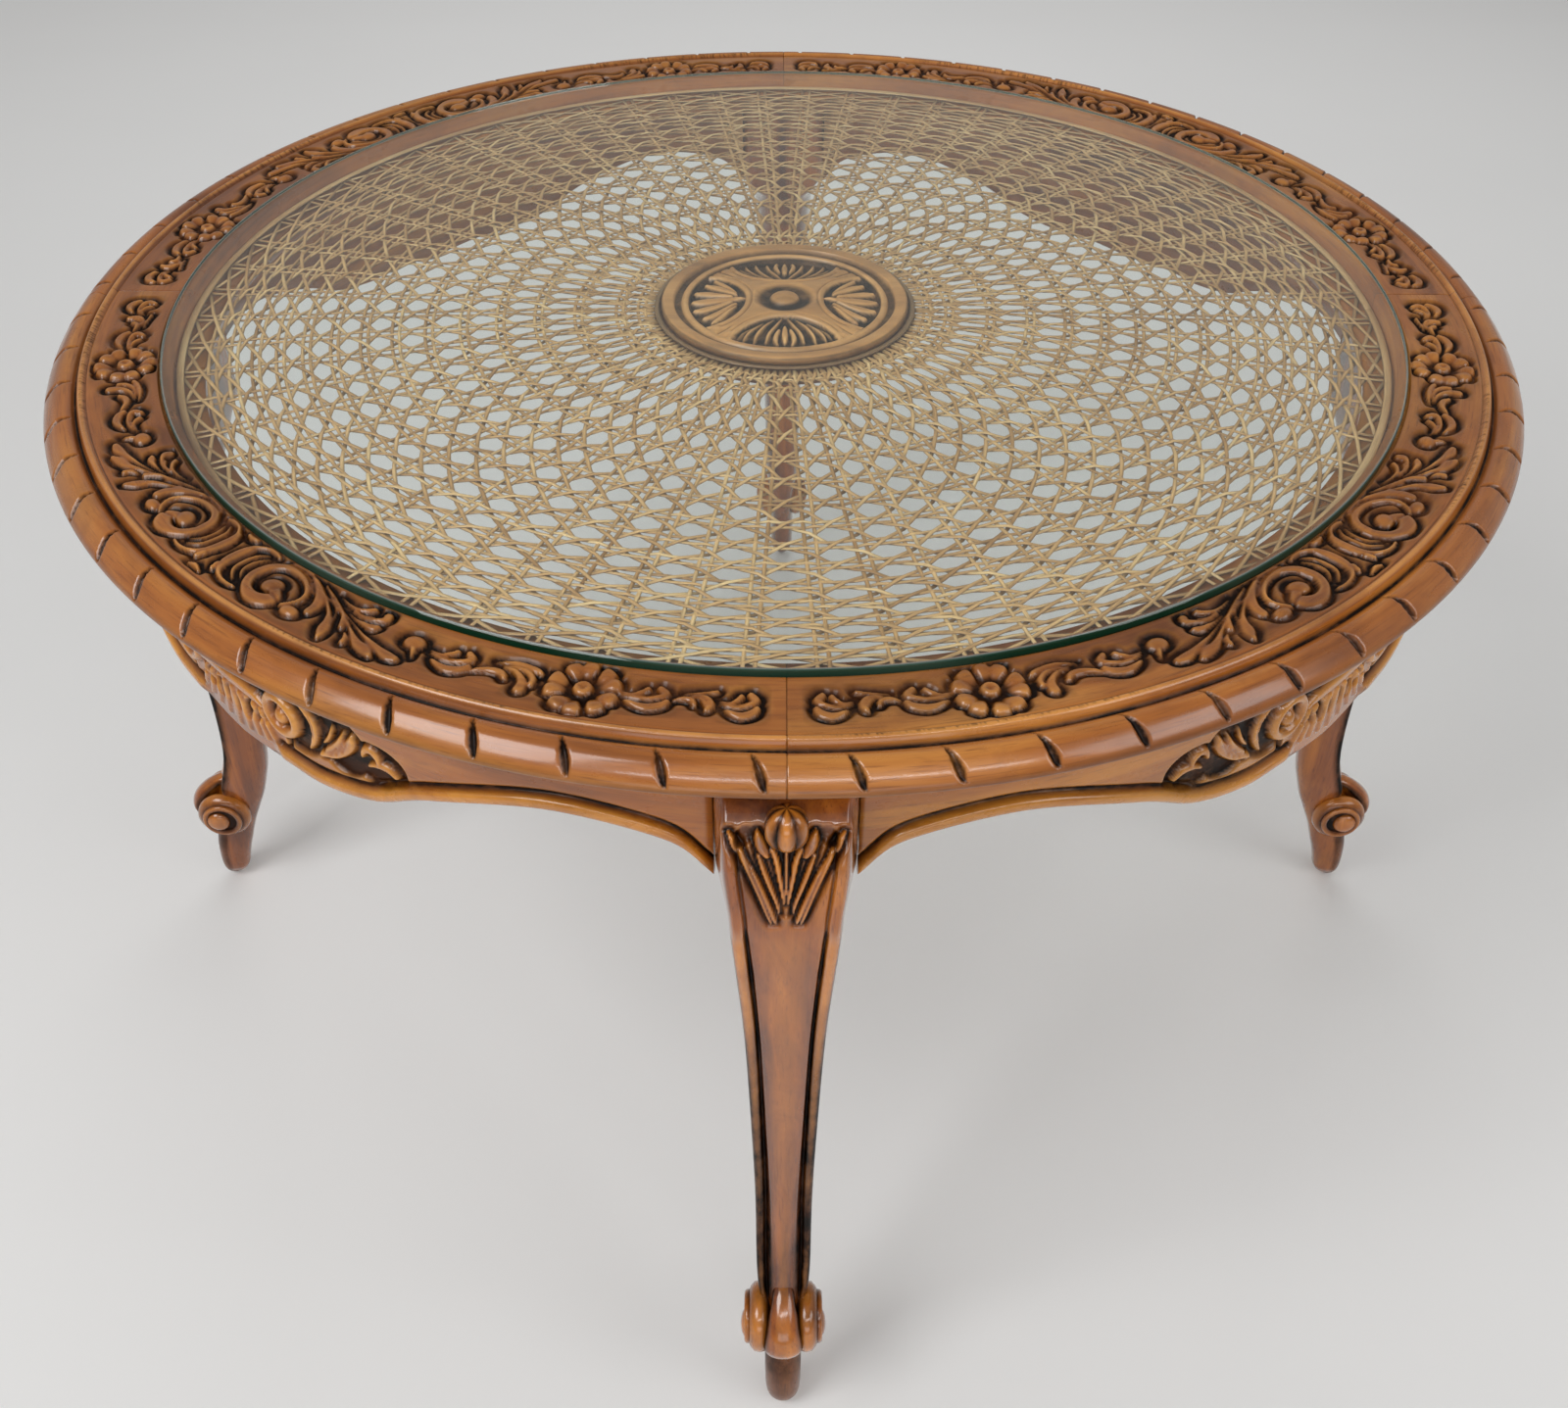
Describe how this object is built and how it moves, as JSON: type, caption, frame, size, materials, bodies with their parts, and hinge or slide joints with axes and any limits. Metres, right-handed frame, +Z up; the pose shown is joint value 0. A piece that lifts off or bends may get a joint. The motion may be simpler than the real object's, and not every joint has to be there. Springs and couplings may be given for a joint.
{
  "type": "round coffee table",
  "caption": "Round carved wooden coffee table on cabriole legs, with a woven cane panel and carved hub under a loose glass top.",
  "frame": {"origin": "on the floor, on the table's vertical axis", "axes": "+Z up, the front leg towards -Y and the right leg towards +X"},
  "size_m": [0.9606, 0.9606, 0.537],
  "materials": {
    "rim_wood": "gloss lacquer, honey brown with darkened recesses",
    "apron_wood": "gloss lacquer, golden brown",
    "leg_wood": "gloss lacquer, reddish brown",
    "inner_wood": "bare beech",
    "cane": "satin natural cane",
    "clear_glass": "clear, green at the edge",
    "screw_steel": "zinc plated"
  },
  "bodies": {
    "table": {"rim_front_right": "rim_wood", "apron_front_right": "apron_wood", "rim_back_right": "rim_wood", "apron_back_right": "apron_wood", "rim_back_left": "rim_wood", "apron_back_left": "apron_wood", "rim_front_left": "rim_wood", "apron_front_left": "apron_wood", "leg_front": "leg_wood", "glue_block_front_a": "inner_wood", "glue_block_front_b": "inner_wood", "leg_right": "leg_wood", "glue_block_right_a": "inner_wood", "glue_block_right_b": "inner_wood", "leg_back": "leg_wood", "glue_block_back_a": "inner_wood", "glue_block_back_b": "inner_wood", "leg_left": "leg_wood", "glue_block_left_a": "inner_wood", "glue_block_left_b": "inner_wood", "cane_panel": "cane", "outer_binder": "cane", "inner_binder": "cane", "medallion": "rim_wood", "hub_plate": "rim_wood", "apron_dowels": "inner_wood", "rim_dowels": "inner_wood", "rim_screws": "screw_steel", "hub_screws": "screw_steel"},
    "glass": {"glass_top": "clear_glass"}
  },
  "joints": [
    {"name": "glass_lift", "type": "slide", "parent": "table", "child": "glass", "axis": [0, 0, 1], "range_m": [0, 0.12]}
  ]
}
